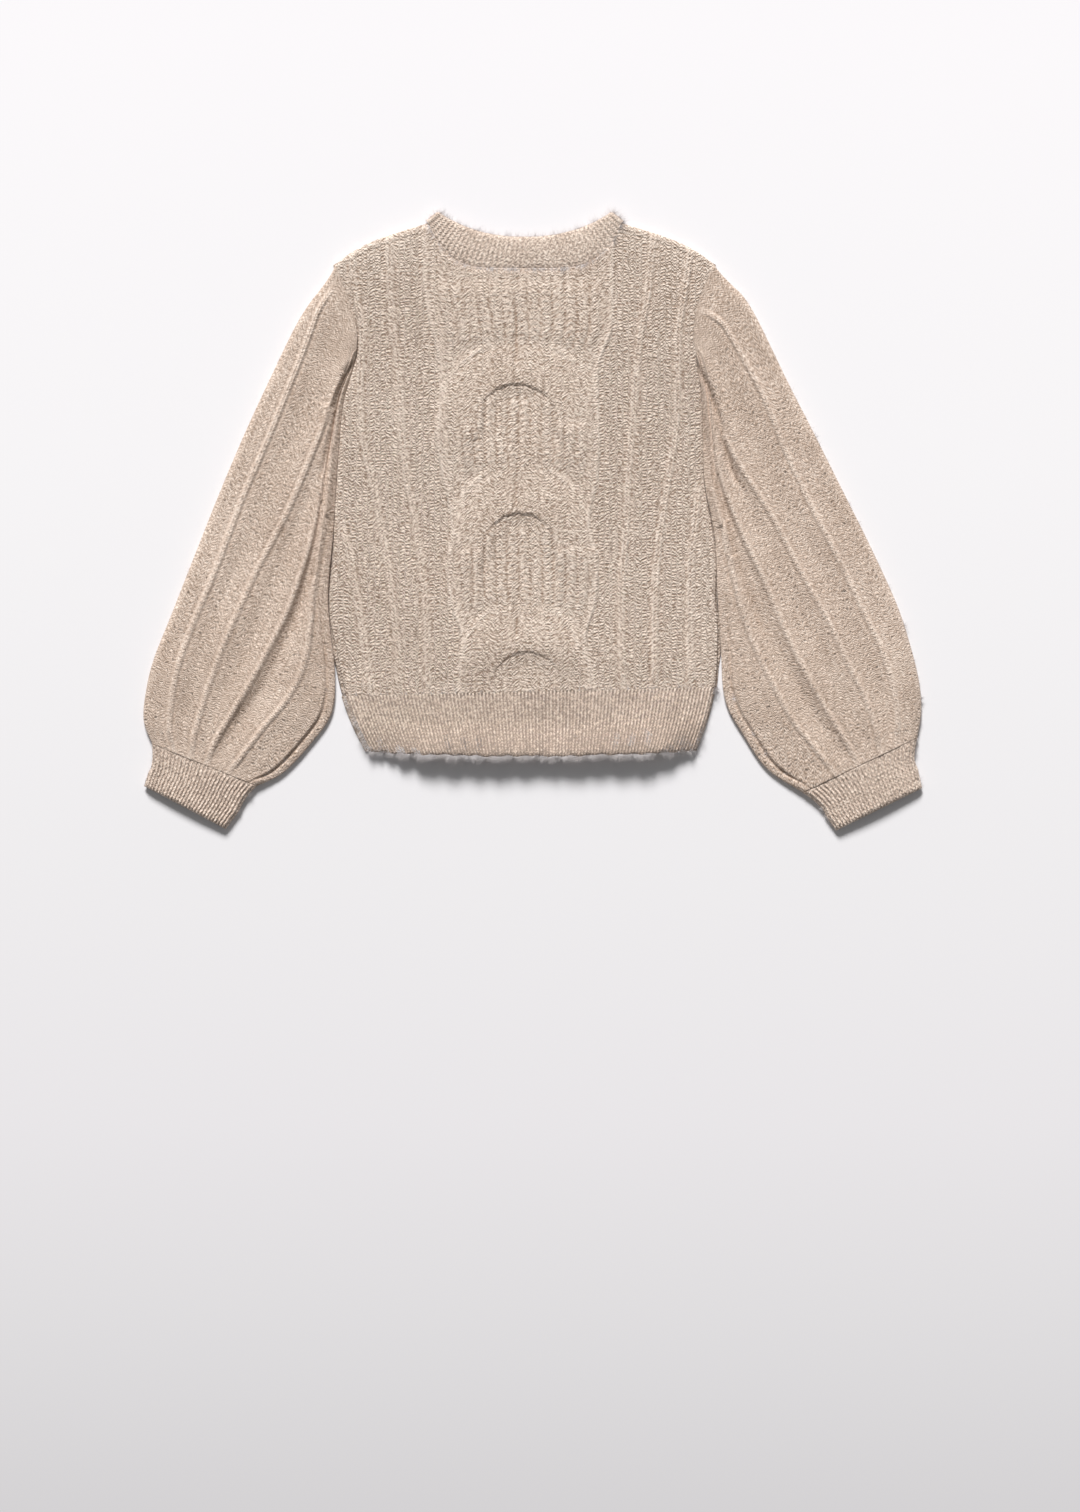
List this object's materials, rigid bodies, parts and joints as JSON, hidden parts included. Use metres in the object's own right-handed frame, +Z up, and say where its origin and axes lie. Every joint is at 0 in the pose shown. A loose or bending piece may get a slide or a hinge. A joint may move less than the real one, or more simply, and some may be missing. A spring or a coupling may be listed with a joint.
{
  "type": "cable knit sweater",
  "caption": "Child's long-sleeved knitted pullover laid flat, with a stacked horseshoe cable, raised wales, balloon sleeves and ribbed neck, hem and cuffs.",
  "frame": {"origin": "middle of the sweater's outline, on the surface that it lies on", "axes": "+Y from the hem to the neck, +X to the wearer's right, +Z up from the surface"},
  "size_m": [0.6484, 0.5154, 0.0103],
  "materials": {
    "knit": "oatmeal heather wool-blend knit, matt with a soft nap",
    "knit_rib": "oatmeal heather 1x1 rib knit, matt with a soft nap"
  },
  "bodies": {
    "root": {"front_panel": "knit", "back_panel": "knit", "hem_rib_front": "knit_rib", "hem_rib_back": "knit_rib", "sleeve_left": "knit", "sleeve_right": "knit", "cuff_left": "knit_rib", "cuff_right": "knit_rib", "neckband": "knit_rib"}
  },
  "joints": []
}
